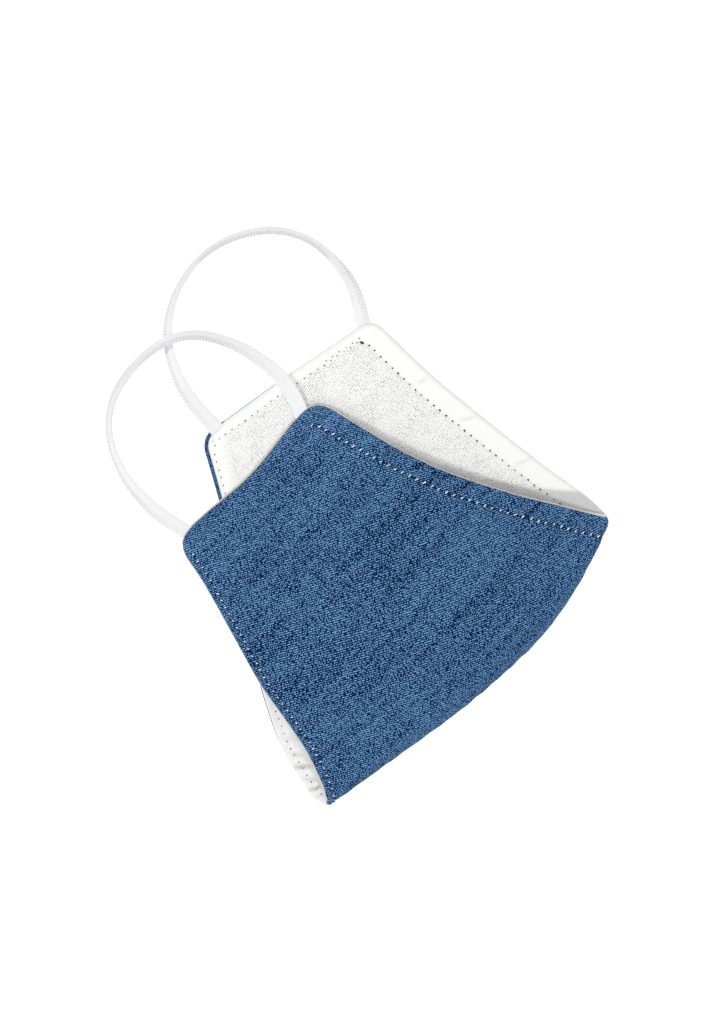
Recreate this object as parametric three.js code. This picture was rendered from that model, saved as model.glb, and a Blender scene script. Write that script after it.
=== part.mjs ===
import * as THREE from "three";

// A shaped cloth face mask, folded on its centre seam and lying on its left side. Millimetres, +Z up.
// +Y runs up the seam's chord from the chin point to the nose tip, and -X runs back to the ears.
// The left half lies flat on the surface, and the right half arches over it and hides most of it.

// The seam that joins the two halves
const SEAM_CHORD = 150;
const SEAM_BOW = 12.5;
const FOLD_RISE = 3.9;

// Walls: an outer panel, a thin space, and a lining
const OUTER_THICKNESS = 1.0;
const LINING_THICKNESS = 1.0;
const PLY_GAP = 0.3;
const SEAM_GAP = 0.3;
const LAY_GAP = 0.5;

// Right half, the upper one: how far back and how far up each ear corner lies from the chin point
const RIGHT_EAR_BACK = 109.6;
const RIGHT_EAR_TOP = 105.4;
const RIGHT_EAR_BOTTOM = 31;
const RIGHT_NOSE_SAG = 6.8;
const RIGHT_CHIN_SAG = 3.5;
const RIGHT_EAR_SAG = 2.2;
const RIGHT_CORNER = 7.5;
const CROWN_RISE = 18;

// Left half, the lower one
const LEFT_EAR_BACK_TOP = 115.6;
const LEFT_EAR_BACK_BOTTOM = 130.4;
const LEFT_EAR_TOP = 141.8;
const LEFT_EAR_BOTTOM = 65.5;
const LEFT_NOSE_SAG = 2.1;
const LEFT_CHIN_BULGE = 10;
const LEFT_EAR_BULGE = 0.4;
const LEFT_CORNER = 6.5;

// Ear loops: flat elastic, with how far each reaches behind its ear edge and how high it rises
const LOOP_WIDTH = 5.7;
const LOOP_THICKNESS = 1.0;
const LOOP_CHAMFER = 0.25;
const RIGHT_LOOP_REACH = 56.6;
const RIGHT_LOOP_HEIGHT = 8;
const LEFT_LOOP_REACH = 55.6;
const LEFT_LOOP_HEIGHT = 2.95;
const LOOP_STEPS = 40;

// Grid of each panel: steps up the seam, round the fold, and from the fold back to the ear
const STEPS_UP = 18;
const STEPS_ROUND_FOLD = 5;
const STEPS_BACK = 11;

const WALL = OUTER_THICKNESS + PLY_GAP + LINING_THICKNESS;
const REST_HEIGHT = 2 * WALL + LAY_GAP;

// Rise of the seam above the tips, and bow of the seam, up its chord
const SEAM_SHAPE = [
  { up: 0, bow: 0, rise: 0 },
  { up: 0.2, bow: 0.4, rise: 0.6 },
  { up: 0.4, bow: 0.79, rise: 0.95 },
  { up: 0.56, bow: 0.97, rise: 1 },
  { up: 0.68, bow: 0.99, rise: 0.95 },
  { up: 0.8, bow: 0.79, rise: 0.75 },
  { up: 0.9, bow: 0.48, rise: 0.45 },
  { up: 0.97, bow: 0.21, rise: 0.15 },
  { up: 1, bow: 0, rise: 0 },
];

// Sag of each free edge from its chord, towards the middle of the panel
const RIGHT_NOSE_EDGE = [
  { back: 0, sag: 0 },
  { back: 0.16, sag: 0.38 },
  { back: 0.32, sag: 0.76 },
  { back: 0.54, sag: 1 },
  { back: 0.7, sag: 0.82 },
  { back: 0.84, sag: 0.46 },
  { back: 1, sag: 0 },
];
const RIGHT_CHIN_EDGE = [
  { back: 0, sag: 0 },
  { back: 0.07, sag: 0.6 },
  { back: 0.2, sag: 1 },
  { back: 0.32, sag: 0.82 },
  { back: 0.46, sag: 0.45 },
  { back: 0.64, sag: 0.47 },
  { back: 0.84, sag: 0.46 },
  { back: 1, sag: 0 },
];
const LEFT_NOSE_EDGE = [
  { back: 0, sag: 0 },
  { back: 0.1, sag: -0.3 },
  { back: 0.3, sag: 0.45 },
  { back: 0.7, sag: 1 },
  { back: 0.88, sag: 0.5 },
  { back: 1, sag: 0 },
];
const LEFT_CHIN_EDGE = [
  { back: 0, sag: 0 },
  { back: 0.03, sag: -0.38 },
  { back: 0.1, sag: -0.7 },
  { back: 0.2, sag: -0.97 },
  { back: 0.38, sag: -0.93 },
  { back: 0.6, sag: -0.6 },
  { back: 0.8, sag: -0.18 },
  { back: 1, sag: 0 },
];

// Arch of the right half above its fold and ear edge, as shares of the crown's rise.
// Rows run from the seam back to the ear, and columns from the chin edge up to the nose edge.
const CROWN_COLUMNS = ["chin", "low", "middle", "high", "nose"];
const CROWN = [
  { back: 0, chin: 0, low: 0, middle: 0, high: 0, nose: 0 },
  { back: 0.12, chin: 0.25, low: 0.4, middle: 0.44, high: 0.36, nose: 0.15 },
  { back: 0.28, chin: 0.58, low: 0.8, middle: 0.83, high: 0.63, nose: 0.36 },
  { back: 0.45, chin: 0.76, low: 0.97, middle: 1, high: 0.74, nose: 0.42 },
  { back: 0.62, chin: 0.66, low: 0.82, middle: 0.88, high: 0.68, nose: 0.33 },
  { back: 0.8, chin: 0.37, low: 0.44, middle: 0.47, high: 0.4, nose: 0.19 },
  { back: 0.92, chin: 0.13, low: 0.15, middle: 0.16, high: 0.14, nose: 0.07 },
  { back: 1, chin: 0, low: 0, middle: 0, high: 0, nose: 0 },
];

// Routes of the two loops, from the nose-side corner round to the chin-side corner.
// up is a share of the ear edge from its chin corner, and back is a share of the loop's reach behind it.
// rise is a share of the loop's height, and tilt is how far the inner edge leans up, in degrees.
const RIGHT_LOOP = [
  { back: 0.009, up: 0.903, rise: 0.475, tilt: 0 },
  { back: 0.131, up: 0.938, rise: 0.525, tilt: 4 },
  { back: 0.283, up: 0.957, rise: 0.6, tilt: 10 },
  { back: 0.479, up: 0.941, rise: 0.713, tilt: 25 },
  { back: 0.655, up: 0.901, rise: 0.838, tilt: 38 },
  { back: 0.846, up: 0.812, rise: 0.963, tilt: 45 },
  { back: 0.959, up: 0.683, rise: 1, tilt: 48 },
  { back: 1, up: 0.497, rise: 0.75, tilt: 52 },
  { back: 0.966, up: 0.323, rise: 0.5, tilt: 56 },
  { back: 0.873, up: 0.199, rise: 0.375, tilt: 60 },
  { back: 0.714, up: 0.106, rise: 0.362, tilt: 55 },
  { back: 0.495, up: 0.048, rise: 0.338, tilt: 42 },
  { back: 0.281, up: 0.038, rise: 0.362, tilt: 20 },
  { back: 0.131, up: 0.051, rise: 0.425, tilt: 5 },
  { back: 0.004, up: 0.073, rise: 0.475, tilt: 0 },
];
const LEFT_LOOP = [
  { back: 0.011, up: 0.954, rise: 0.39, tilt: 0 },
  { back: 0.126, up: 1.001, rise: 0.322, tilt: 6 },
  { back: 0.297, up: 1.054, rise: 0.712, tilt: 30 },
  { back: 0.523, up: 1.073, rise: 0.932, tilt: 50 },
  { back: 0.721, up: 1.045, rise: 0.966, tilt: 55 },
  { back: 0.887, up: 0.955, rise: 0.949, tilt: 52 },
  { back: 0.989, up: 0.797, rise: 0.966, tilt: 56 },
  { back: 0.999, up: 0.617, rise: 1, tilt: 62 },
  { back: 0.921, up: 0.447, rise: 1, tilt: 62 },
  { back: 0.796, up: 0.313, rise: 0.932, tilt: 54 },
  { back: 0.649, up: 0.216, rise: 0.881, tilt: 48 },
  { back: 0.441, up: 0.136, rise: 0.78, tilt: 36 },
  { back: 0.224, up: 0.093, rise: 0.441, tilt: 12 },
  { back: 0.008, up: 0.083, rise: 0.39, tilt: 0 },
];

const denim = new THREE.MeshStandardMaterial({ color: 0x3b5e83, roughness: 0.9, metalness: 0 });
const muslin = new THREE.MeshStandardMaterial({ color: 0xebecec, roughness: 0.95, metalness: 0 });
const elastic = new THREE.MeshStandardMaterial({ color: 0xefeff0, roughness: 0.8, metalness: 0 });

// Value at a place on a smooth curve through a list of places and values
function smooth(places, values, place) {
  const last = places.length - 1;
  const slope = (i) => {
    const before = Math.max(i - 1, 0);
    const after = Math.min(i + 1, last);
    return (values[after] - values[before]) / (places[after] - places[before]);
  };
  let i = 0;
  while (i < last - 1 && place > places[i + 1]) i += 1;
  const span = places[i + 1] - places[i];
  const t = (place - places[i]) / span;
  const rest = 1 - t;
  const start = values[i] * (1 + 2 * t) + slope(i) * span * t;
  const end = values[i + 1] * (3 - 2 * t) - slope(i + 1) * span * rest;
  return start * rest * rest + end * t * t;
}

function column(table, key, name, place) {
  return smooth(table.map((row) => row[key]), table.map((row) => row[name]), place);
}

// Plan of the seam, shared by both halves
function seamPoint(up) {
  return new THREE.Vector2(SEAM_BOW * column(SEAM_SHAPE, "up", "bow", up), SEAM_CHORD * up);
}

// A free edge from the seam back to an ear corner. Its last stretch is half of the rounded corner.
function freeEdge(tip, corner, otherCorner, turn, edge, sag, size, back) {
  const chord = corner.clone().sub(tip);
  const normal = new THREE.Vector2(-chord.y, chord.x).setLength(turn);
  const place = (share) =>
    tip
      .clone()
      .addScaledVector(chord, share)
      .addScaledVector(normal, sag * column(edge, "back", "sag", share));
  const straight = 1 - size / chord.length();
  if (back <= straight) return place(back);
  const round = (0.5 * (back - straight)) / (1 - straight);
  return roundCorner(place(straight), corner, otherCorner, size, round);
}

// A corner rounded by a parabola that leaves both edges at the corner's size from its point
function roundCorner(start, corner, otherCorner, size, t) {
  const end = corner.clone().add(otherCorner.clone().sub(corner).setLength(size));
  const curve = new THREE.QuadraticBezierCurve(start, corner, end);
  return curve.getPoint(t);
}

const RIGHT = {
  side: 1,
  noseCorner: new THREE.Vector2(-RIGHT_EAR_BACK, RIGHT_EAR_TOP),
  chinCorner: new THREE.Vector2(-RIGHT_EAR_BACK, RIGHT_EAR_BOTTOM),
  noseEdge: RIGHT_NOSE_EDGE,
  noseSag: RIGHT_NOSE_SAG,
  chinEdge: RIGHT_CHIN_EDGE,
  chinSag: RIGHT_CHIN_SAG,
  earSag: RIGHT_EAR_SAG,
  corner: RIGHT_CORNER,
  loop: RIGHT_LOOP,
  loopReach: RIGHT_LOOP_REACH,
  loopHeight: RIGHT_LOOP_HEIGHT,
};
const LEFT = {
  side: -1,
  noseCorner: new THREE.Vector2(-LEFT_EAR_BACK_TOP, LEFT_EAR_TOP),
  chinCorner: new THREE.Vector2(-LEFT_EAR_BACK_BOTTOM, LEFT_EAR_BOTTOM),
  noseEdge: LEFT_NOSE_EDGE,
  noseSag: LEFT_NOSE_SAG,
  chinEdge: LEFT_CHIN_EDGE,
  chinSag: LEFT_CHIN_BULGE,
  earSag: -LEFT_EAR_BULGE,
  corner: LEFT_CORNER,
  loop: LEFT_LOOP,
  loopReach: LEFT_LOOP_REACH,
  loopHeight: LEFT_LOOP_HEIGHT,
};

function noseEdge(half, back) {
  const { noseCorner, chinCorner, noseEdge: edge, noseSag: sag, corner } = half;
  return freeEdge(seamPoint(1), noseCorner, chinCorner, 1, edge, sag, corner, back);
}

function chinEdge(half, back) {
  const { noseCorner, chinCorner, chinEdge: edge, chinSag: sag, corner } = half;
  return freeEdge(seamPoint(0), chinCorner, noseCorner, -1, edge, sag, corner, back);
}

// The ear edge, from the middle of one rounded corner to the middle of the other
function earEdge(half, up) {
  const { noseCorner, chinCorner, corner } = half;
  const chord = noseCorner.clone().sub(chinCorner);
  const end = corner / chord.length();
  if (up < end) {
    const start = chinEdge(half, 1 - corner / chinCorner.distanceTo(seamPoint(0)));
    return roundCorner(start, chinCorner, noseCorner, corner, 0.5 + (0.5 * up) / end);
  }
  if (up > 1 - end) {
    const start = noseEdge(half, 1 - corner / noseCorner.distanceTo(seamPoint(1)));
    return roundCorner(start, noseCorner, chinCorner, corner, 0.5 + (0.5 * (1 - up)) / end);
  }
  const normal = new THREE.Vector2(chord.y, -chord.x).normalize();
  const bend = Math.sin((Math.PI * (up - end)) / (1 - 2 * end)) ** 2;
  const straight = chinCorner.clone().addScaledVector(chord, up);
  return straight.addScaledVector(normal, half.earSag * bend);
}

// Plan of a panel between its four edges
function plan(half, up, back) {
  const seam = seamPoint(up);
  const ear = earEdge(half, up);
  const chin = chinEdge(half, back);
  const nose = noseEdge(half, back);
  const point = seam.multiplyScalar(1 - back).addScaledVector(ear, back);
  point.addScaledVector(chin, 1 - up).addScaledVector(nose, up);
  point.addScaledVector(seamPoint(0), -(1 - up) * (1 - back));
  point.addScaledVector(seamPoint(1), -up * (1 - back));
  point.addScaledVector(earEdge(half, 0), -(1 - up) * back);
  point.addScaledVector(earEdge(half, 1), -up * back);
  return point;
}

function seamHeight(up) {
  return REST_HEIGHT / 2 + FOLD_RISE * column(SEAM_SHAPE, "up", "rise", up);
}

// Height of the right half's outer face past the fold
function archHeight(up, back) {
  const quarters = CROWN_COLUMNS.map((name, i) => i / (CROWN_COLUMNS.length - 1));
  const values = CROWN_COLUMNS.map((name) => column(CROWN, "back", name, back));
  const fold = 2 * seamHeight(up) - REST_HEIGHT;
  const ease = 0.5 + 0.5 * Math.cos(Math.PI * back);
  return REST_HEIGHT + fold * ease + CROWN_RISE * smooth(quarters, values, up);
}

// The outer face. way is 0 at the seam, 1 at the end of the round fold, and 2 at the ear edge.
function outerFace(half, up, way) {
  const seam = seamHeight(up);
  const fold = seam / earEdge(half, up).distanceTo(seamPoint(up));
  const turn = (Math.PI / 2) * Math.min(way, 1);
  const beyond = Math.sin((Math.PI / 2) * Math.max(way - 1, 0));
  const back = fold * (1 - Math.cos(turn)) + (1 - fold) * beyond;
  const point = plan(half, up, back);
  const start = seam + (half.side * SEAM_GAP) / 2;
  const end = half === RIGHT ? archHeight(up, back) : 0;
  return new THREE.Vector3(point.x, point.y, start + (end - start) * Math.sin(turn));
}

// A point at a depth below the outer face, measured square to it
function layer(half, up, way, depth) {
  const step = 0.002;
  const margin = 0.03;
  const u = THREE.MathUtils.clamp(up, margin, 1 - margin);
  const w = Math.min(way, 2 - 2 * margin);
  const corner = way > 1.5 && u !== up;
  const atUp = corner ? u : THREE.MathUtils.clamp(up, step, 1 - step);
  const atWay = corner ? w : THREE.MathUtils.clamp(way, step, 2 - step);
  const alongUp = outerFace(half, atUp + step, atWay).sub(outerFace(half, atUp - step, atWay));
  const alongWay = outerFace(half, atUp, atWay + step).sub(outerFace(half, atUp, atWay - step));
  const inward = alongUp.cross(alongWay).setLength(-half.side * depth);
  return outerFace(half, up, way).add(inward);
}

// A panel as one closed solid between two depths of its half
function panel(name, half, material, from, to) {
  const ups = [];
  for (let i = 0; i <= STEPS_UP; i += 1) ups.push(0.5 - 0.5 * Math.cos((Math.PI * i) / STEPS_UP));
  const ways = [];
  for (let i = 0; i < STEPS_ROUND_FOLD; i += 1) ways.push(i / STEPS_ROUND_FOLD);
  for (let i = 0; i <= STEPS_BACK; i += 1) ways.push(1 + i / STEPS_BACK);
  const positions = [];
  for (const depth of half === RIGHT ? [from, to] : [to, from])
    for (const up of ups)
      for (const way of ways) {
        const point = depth === 0 ? outerFace(half, up, way) : layer(half, up, way, depth);
        positions.push(point.x, point.y, point.z);
      }
  const rows = ups.length;
  const columns = ways.length;
  const upper = (i, j) => i * columns + j;
  const lower = (i, j) => rows * columns + upper(i, j);
  const triangles = [];
  const quad = (a, b, c, d) => triangles.push(a, b, c, a, c, d);
  for (let i = 0; i < rows - 1; i += 1)
    for (let j = 0; j < columns - 1; j += 1) {
      quad(upper(i, j), upper(i + 1, j), upper(i + 1, j + 1), upper(i, j + 1));
      quad(lower(i, j), lower(i, j + 1), lower(i + 1, j + 1), lower(i + 1, j));
    }
  for (let i = 0; i < rows - 1; i += 1) {
    quad(upper(i, 0), lower(i, 0), lower(i + 1, 0), upper(i + 1, 0));
    const j = columns - 1;
    quad(upper(i, j), upper(i + 1, j), lower(i + 1, j), lower(i, j));
  }
  for (let j = 0; j < columns - 1; j += 1) {
    quad(upper(0, j), upper(0, j + 1), lower(0, j + 1), lower(0, j));
    const i = rows - 1;
    quad(upper(i, j), lower(i, j), lower(i, j + 1), upper(i, j + 1));
  }
  return solid(name, positions, triangles, material);
}

// A half's ear loop: a flat band swept along its route, with its inner edge leaned up by the tilt
function band(name, half, material) {
  const { loop, loopReach, loopHeight } = half;
  const places = loop.map((row) => {
    const edge = half.chinCorner.clone().lerp(half.noseCorner, row.up);
    return new THREE.Vector3(edge.x - loopReach * row.back, edge.y, loopHeight * row.rise);
  });
  const curve = new THREE.CatmullRomCurve3(places);
  const tilts = loop.map((row) => THREE.MathUtils.degToRad(row.tilt));
  const knots = loop.map((row, i) => i / (loop.length - 1));
  const halfWidth = LOOP_WIDTH / 2;
  const halfThick = LOOP_THICKNESS / 2;
  const section = [
    [halfWidth, halfThick - LOOP_CHAMFER],
    [halfWidth - LOOP_CHAMFER, halfThick],
    [LOOP_CHAMFER - halfWidth, halfThick],
    [-halfWidth, halfThick - LOOP_CHAMFER],
    [-halfWidth, LOOP_CHAMFER - halfThick],
    [LOOP_CHAMFER - halfWidth, -halfThick],
    [halfWidth - LOOP_CHAMFER, -halfThick],
    [halfWidth, LOOP_CHAMFER - halfThick],
  ];
  const sides = section.length;
  const positions = [];
  for (let i = 0; i <= LOOP_STEPS; i += 1) {
    const t = i / LOOP_STEPS;
    const centre = curve.getPoint(t);
    const forward = curve.getTangent(t);
    const inner = new THREE.Vector3(0, 0, 1).cross(forward).normalize();
    const face = forward.clone().cross(inner);
    const tilt = smooth(knots, tilts, t);
    const across = inner.multiplyScalar(Math.cos(tilt)).addScaledVector(face, Math.sin(tilt));
    const through = forward.clone().cross(across);
    for (const [width, thick] of section) {
      const point = centre.clone().addScaledVector(across, width).addScaledVector(through, thick);
      positions.push(point.x, point.y, point.z);
    }
  }
  const triangles = [];
  for (let i = 0; i < LOOP_STEPS; i += 1)
    for (let j = 0; j < sides; j += 1) {
      const a = i * sides + j;
      const b = i * sides + ((j + 1) % sides);
      triangles.push(a, b, a + sides, b, b + sides, a + sides);
    }
  for (let j = 1; j < sides - 1; j += 1) {
    const end = LOOP_STEPS * sides;
    triangles.push(0, j + 1, j, end, end + j, end + j + 1);
  }
  return solid(name, positions, triangles, material);
}

function solid(name, positions, triangles, material) {
  const geometry = new THREE.BufferGeometry();
  geometry.setAttribute("position", new THREE.Float32BufferAttribute(positions, 3));
  geometry.setIndex(triangles);
  geometry.computeVertexNormals();
  const mesh = new THREE.Mesh(geometry, material);
  mesh.name = name;
  return mesh;
}

const liningDepth = OUTER_THICKNESS + PLY_GAP;
const cloth = new THREE.Group();
cloth.add(panel("outer_right", RIGHT, denim, 0, OUTER_THICKNESS));
cloth.add(panel("lining_right", RIGHT, muslin, liningDepth, WALL));
cloth.add(panel("outer_left", LEFT, denim, 0, OUTER_THICKNESS));
cloth.add(panel("lining_left", LEFT, muslin, liningDepth, WALL));

// The origin is under the middle of the cloth's box, on the surface that it lies on
const box = new THREE.Box3().setFromObject(cloth, true);
const middle = box.getCenter(new THREE.Vector3());

const mask = new THREE.Group();
mask.add(cloth);
mask.add(band("ear_loop_right", RIGHT, elastic));
mask.add(band("ear_loop_left", LEFT, elastic));
mask.position.set(-middle.x, -middle.y, 0);

const group = new THREE.Group();
group.add(mask);

export default group;
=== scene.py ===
import math

import bpy
import numpy as np
from mathutils import Matrix, Vector
from mathutils.kdtree import KDTree


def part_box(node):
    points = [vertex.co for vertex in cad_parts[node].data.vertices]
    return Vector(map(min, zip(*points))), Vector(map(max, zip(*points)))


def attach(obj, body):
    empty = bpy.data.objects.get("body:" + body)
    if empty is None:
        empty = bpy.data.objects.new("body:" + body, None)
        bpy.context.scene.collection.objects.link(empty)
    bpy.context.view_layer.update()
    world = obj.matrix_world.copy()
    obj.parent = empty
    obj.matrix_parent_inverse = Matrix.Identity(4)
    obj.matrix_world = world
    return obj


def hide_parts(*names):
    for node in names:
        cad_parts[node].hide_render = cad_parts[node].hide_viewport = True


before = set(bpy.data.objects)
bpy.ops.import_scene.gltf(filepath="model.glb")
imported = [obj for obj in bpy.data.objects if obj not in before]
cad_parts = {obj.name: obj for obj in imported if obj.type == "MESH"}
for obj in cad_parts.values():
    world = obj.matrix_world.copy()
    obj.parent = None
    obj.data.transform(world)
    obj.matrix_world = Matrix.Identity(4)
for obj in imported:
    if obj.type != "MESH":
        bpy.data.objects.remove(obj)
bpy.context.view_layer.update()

# Lengths are millimetres in the pattern's own frame: the chin point of the seam is its origin,
# +Y runs up the seam's chord to the nose tip, -X runs back to the ears, and +Z is up.
MM = 0.001

# The pattern, as the part is cut and laid
SEAM_CHORD = 150.0
SEAM_BOW = 12.5
FOLD_RISE = 3.9
SEAM_GAP = 0.04
WALL = 2.3
REST_HEIGHT = 5.1
CROWN_RISE = 18.0
SEAM_UP = (0, 0.2, 0.4, 0.56, 0.68, 0.8, 0.9, 0.97, 1)
SEAM_BOWS = (0, 0.4, 0.79, 0.97, 0.99, 0.79, 0.48, 0.21, 0)
SEAM_RISES = (0, 0.6, 0.95, 1, 0.95, 0.75, 0.45, 0.15, 0)

# Each half: the side that it faces, its corners at the ear edge, the shares and the depth by which each
# edge bows from its chord, and how far its corners are rounded
RIGHT = {
    "side": 1,
    "nose_corner": np.array((-109.6, 105.4)),
    "chin_corner": np.array((-109.6, 31.0)),
    "nose_edge": ((0, 0.16, 0.32, 0.54, 0.7, 0.84, 1), (0, 0.38, 0.76, 1, 0.82, 0.46, 0)),
    "nose_sag": 6.8,
    "chin_edge": (
        (0, 0.07, 0.2, 0.32, 0.46, 0.64, 0.84, 1),
        (0, 0.6, 1, 0.82, 0.45, 0.47, 0.46, 0),
    ),
    "chin_sag": 3.5,
    "ear_sag": 2.2,
    "corner": 7.5,
}
LEFT = {
    "side": -1,
    "nose_corner": np.array((-115.6, 141.8)),
    "chin_corner": np.array((-130.4, 65.5)),
    "nose_edge": ((0, 0.1, 0.3, 0.7, 0.88, 1), (0, -0.3, 0.45, 1, 0.5, 0)),
    "nose_sag": 2.1,
    "chin_edge": (
        (0, 0.03, 0.1, 0.2, 0.38, 0.6, 0.8, 1),
        (0, -0.38, -0.7, -0.97, -0.93, -0.6, -0.18, 0),
    ),
    "chin_sag": 10.0,
    "ear_sag": -0.4,
    "corner": 6.5,
}

# The arch of the upper half: shares of its crown's height at places back from the seam, in columns that
# are evenly spread from the chin edge to the nose edge
CROWN_BACK = (0, 0.12, 0.28, 0.45, 0.62, 0.8, 0.92, 1)
CROWN_COLUMNS = (
    (0, 0.25, 0.58, 0.76, 0.66, 0.37, 0.13, 0),
    (0, 0.4, 0.8, 0.97, 0.82, 0.44, 0.15, 0),
    (0, 0.44, 0.83, 1, 0.88, 0.47, 0.16, 0),
    (0, 0.36, 0.63, 0.74, 0.68, 0.4, 0.14, 0),
    (0, 0.15, 0.36, 0.42, 0.33, 0.19, 0.07, 0),
)

# Plies of a wall, as depths below its outer face: the backs of the outer ply and of the lining, where
# they meet at the rim and half the gap between them there. Then the radius of the rounded rim.
OUTER_BACK = 1.0
LINING_BACK = 1.3
RIM_DEPTH = 1.15
RIM_GAP = 0.05
RIM_ROUND = 1.1

# Hems: how far in from each free edge the stitches run, how far each row runs on past the row that it
# meets, and how deep and how wide the stitches draw the cloth in
NOSE_HEM = 8.0
EAR_HEM = 4.6
CHIN_HEM = 2.9
STITCH_PITCH = 3.0
ROW_OVERRUN = 0.3
STITCH_SINK = 0.34
STITCH_REACH = 0.85

# The stitched lines: the edge, how far in they run, and how far from the ear edge they stop
STITCHED = (("nose", NOSE_HEM, EAR_HEM), ("ear", EAR_HEM, 0), ("chin", CHIN_HEM, EAR_HEM))


def smooth(places, values, at):
    """Values on a smooth curve through a few places and values."""
    places, values, at = np.array(places, float), np.array(values, float), np.asarray(at, float)
    last = len(places) - 1
    before, after = np.maximum(np.arange(last + 1) - 1, 0), np.minimum(np.arange(last + 1) + 1, last)
    slopes = (values[after] - values[before]) / (places[after] - places[before])
    i = np.clip(np.searchsorted(places, at, side="left") - 1, 0, last - 1)
    span = places[i + 1] - places[i]
    t = (at - places[i]) / span
    start = values[i] * (1 + 2 * t) + slopes[i] * span * t
    end = values[i + 1] * (3 - 2 * t) - slopes[i + 1] * span * (1 - t)
    return start * (1 - t) ** 2 + end * t**2


def seam_point(up):
    """A place on the seam in plan, up its chord from the chin point."""
    return np.stack([SEAM_BOW * smooth(SEAM_UP, SEAM_BOWS, up), SEAM_CHORD * up], -1)


def seam_height(up):
    """How high the seam lies over the surface."""
    return REST_HEIGHT / 2 + FOLD_RISE * smooth(SEAM_UP, SEAM_RISES, up)


def rounded(start, corner, other, size, t):
    """A corner rounded by a parabola between two places on its edges."""
    end = corner + (other - corner) * (size / np.hypot(*(other - corner)))
    t = t[..., None]
    return start * (1 - t) ** 2 + corner * (2 * t * (1 - t)) + end * t**2


def free_edge(tip, corner, other, turn, edge, sag, size, back):
    """A curved edge in plan from the seam's tip back to a corner, and round half of that corner."""
    chord = corner - tip
    length = np.hypot(*chord)
    normal = np.array((-chord[1], chord[0])) * (turn / length)
    straight = 1 - size / length

    def place(share):
        share = np.asarray(share, float)
        return tip + share[..., None] * chord + (sag * smooth(*edge, share))[..., None] * normal

    share = 0.5 * (back - straight) / (1 - straight)
    bent = rounded(place(straight), corner, other, size, np.maximum(share, 0))
    return np.where((back > straight)[..., None], bent, place(np.minimum(back, straight)))


def nose_edge(half, back):
    """The nose edge in plan. back is 0 at the seam and 1 at the ear edge."""
    return free_edge(
        np.array((0, SEAM_CHORD)), half["nose_corner"], half["chin_corner"], 1,
        half["nose_edge"], half["nose_sag"], half["corner"], back,
    )


def chin_edge(half, back):
    """The chin edge in plan. back is 0 at the seam and 1 at the ear edge."""
    return free_edge(
        np.array((0.0, 0.0)), half["chin_corner"], half["nose_corner"], -1,
        half["chin_edge"], half["chin_sag"], half["corner"], back,
    )


def ear_edge(half, up):
    """The ear edge in plan, with its two rounded corners."""
    nose, chin, size = half["nose_corner"], half["chin_corner"], half["corner"]
    chord = nose - chin
    end = size / np.hypot(*chord)
    normal = np.array((chord[1], -chord[0])) / np.hypot(*chord)
    bend = np.sin(np.pi * np.clip((up - end) / (1 - 2 * end), 0, 1)) ** 2
    middle = chin + up[..., None] * chord + (half["ear_sag"] * bend)[..., None] * normal
    chin_start = chin_edge(half, np.array(1 - size / np.hypot(*chin)))
    low = rounded(chin_start, chin, nose, size, 0.5 + 0.5 * np.minimum(up / end, 1))
    nose_start = nose_edge(half, np.array(1 - size / np.hypot(*(nose - (0, SEAM_CHORD)))))
    high = rounded(nose_start, nose, chin, size, 0.5 + 0.5 * np.minimum((1 - up) / end, 1))
    middle = np.where((up < end)[..., None], low, middle)
    return np.where((up > 1 - end)[..., None], high, middle)


def plan(half, up, back):
    """Plan of a panel between its seam and its three free edges."""
    u, b = up[..., None], back[..., None]
    corners = ear_edge(half, np.array((0.0, 1.0)))
    across = (1 - b) * seam_point(up) + b * ear_edge(half, up)
    along = (1 - u) * chin_edge(half, back) + u * nose_edge(half, back)
    shared = (1 - u) * (1 - b) * seam_point(np.array(0.0)) + u * (1 - b) * seam_point(np.array(1.0))
    return across + along - shared - (1 - u) * b * corners[0] - u * b * corners[1]


def picked(values, at):
    """From each row of values, the one with the number that at gives."""
    return np.take_along_axis(values, at[..., None], -1)[..., 0]


def arch_height(up, back):
    """Height of the upper half's outer face past the fold."""
    columns = np.stack([smooth(CROWN_BACK, c, back) for c in CROWN_COLUMNS], -1)
    knots = np.linspace(0, 1, len(CROWN_COLUMNS))
    slopes = np.gradient(columns, knots, axis=-1)
    i = np.clip(np.searchsorted(knots, up, side="left") - 1, 0, len(knots) - 2)
    span = knots[1]
    t = (up - knots[i]) / span
    start = picked(columns, i) * (1 + 2 * t) + picked(slopes, i) * span * t
    end = picked(columns, i + 1) * (3 - 2 * t) - picked(slopes, i + 1) * span * (1 - t)
    crown = start * (1 - t) ** 2 + end * t**2
    fold = 2 * seam_height(up) - REST_HEIGHT
    return REST_HEIGHT + fold * (0.5 + 0.5 * np.cos(np.pi * back)) + CROWN_RISE * crown


def outer_face(half, up, way):
    """The outer face. way is 0 at the seam, 1 at the end of the round fold and 2 at the ear edge."""
    seam = seam_height(up)
    fold = seam / np.linalg.norm(ear_edge(half, up) - seam_point(up), axis=-1)
    turn = np.pi / 2 * np.minimum(way, 1)
    back = fold * (1 - np.cos(turn)) + (1 - fold) * np.maximum(way - 1, 0)
    flat = plan(half, up, back)
    start = seam + half["side"] * SEAM_GAP / 2
    end = arch_height(up, back) if half is RIGHT else 0 * back
    return np.concatenate([flat, (start + (end - start) * np.sin(turn))[..., None]], -1)


def outward(half, up, way):
    """Directions square to the outer face."""
    step, margin = 0.002, 0.03
    u = np.clip(up, margin, 1 - margin)
    w = np.clip(way, step, 2 - margin)
    along_up = outer_face(half, u + step, w) - outer_face(half, u - step, w)
    along_way = outer_face(half, u, w + step) - outer_face(half, u, w - step)
    normal = half["side"] * np.cross(along_up, along_way)
    return normal / np.linalg.norm(normal, axis=-1, keepdims=True)


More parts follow.
